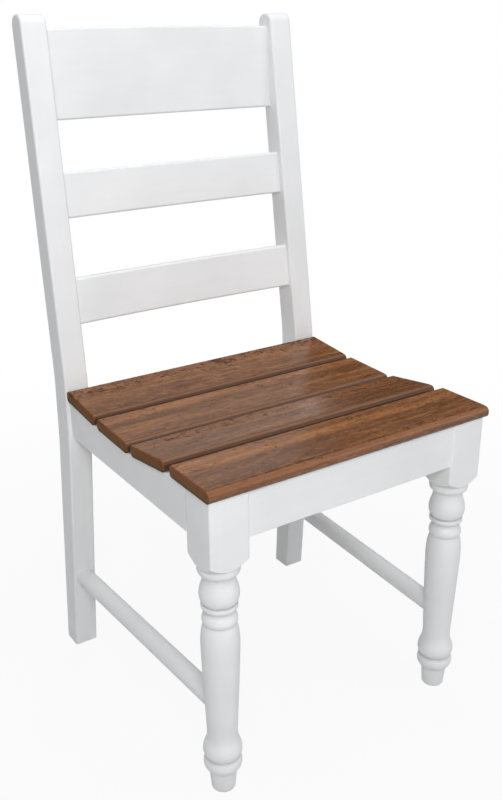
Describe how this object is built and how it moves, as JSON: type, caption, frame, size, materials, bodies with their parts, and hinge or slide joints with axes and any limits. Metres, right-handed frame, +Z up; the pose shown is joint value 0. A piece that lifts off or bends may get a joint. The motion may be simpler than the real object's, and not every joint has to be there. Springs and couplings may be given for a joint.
{
  "type": "outdoor dining chair",
  "caption": "Painted ladder-back side chair: turned front legs, bent rear legs running up as back posts, bowed back slats, round side stretchers and a scooped seat of stained boards.",
  "frame": {"origin": "on the floor, under the middle of the chair's outside box", "axes": "+Z up, +X to the right as seen from the front, the front of the chair faces -Y"},
  "size_m": [0.4762, 0.5029, 0.9868],
  "materials": {
    "white_paint": "satin white paint on hardwood",
    "brown_stain": "satin brown stain, lightly distressed",
    "inner_wood": "bare planed wood",
    "screw_steel": "zinc-plated wood screws"
  },
  "bodies": {
    "root": {"front_leg_left": "white_paint", "front_leg_right": "white_paint", "rear_leg_left": "white_paint", "rear_leg_right": "white_paint", "front_apron": "white_paint", "rear_apron": "white_paint", "side_apron_left": "white_paint", "side_apron_right": "white_paint", "stretcher_left": "white_paint", "stretcher_right": "white_paint", "crest_rail": "white_paint", "middle_back_slat": "white_paint", "lower_back_slat": "white_paint", "seat_slat_front": "brown_stain", "seat_slat_second": "brown_stain", "seat_slat_third": "brown_stain", "seat_slat_rear": "brown_stain", "seat_cleat_left": "inner_wood", "seat_cleat_right": "inner_wood", "corner_block_front_left": "inner_wood", "corner_block_front_right": "inner_wood", "corner_block_rear_left": "inner_wood", "corner_block_rear_right": "inner_wood", "slat_screws": "screw_steel", "cleat_screws": "screw_steel", "corner_block_screws": "screw_steel"}
  },
  "joints": []
}
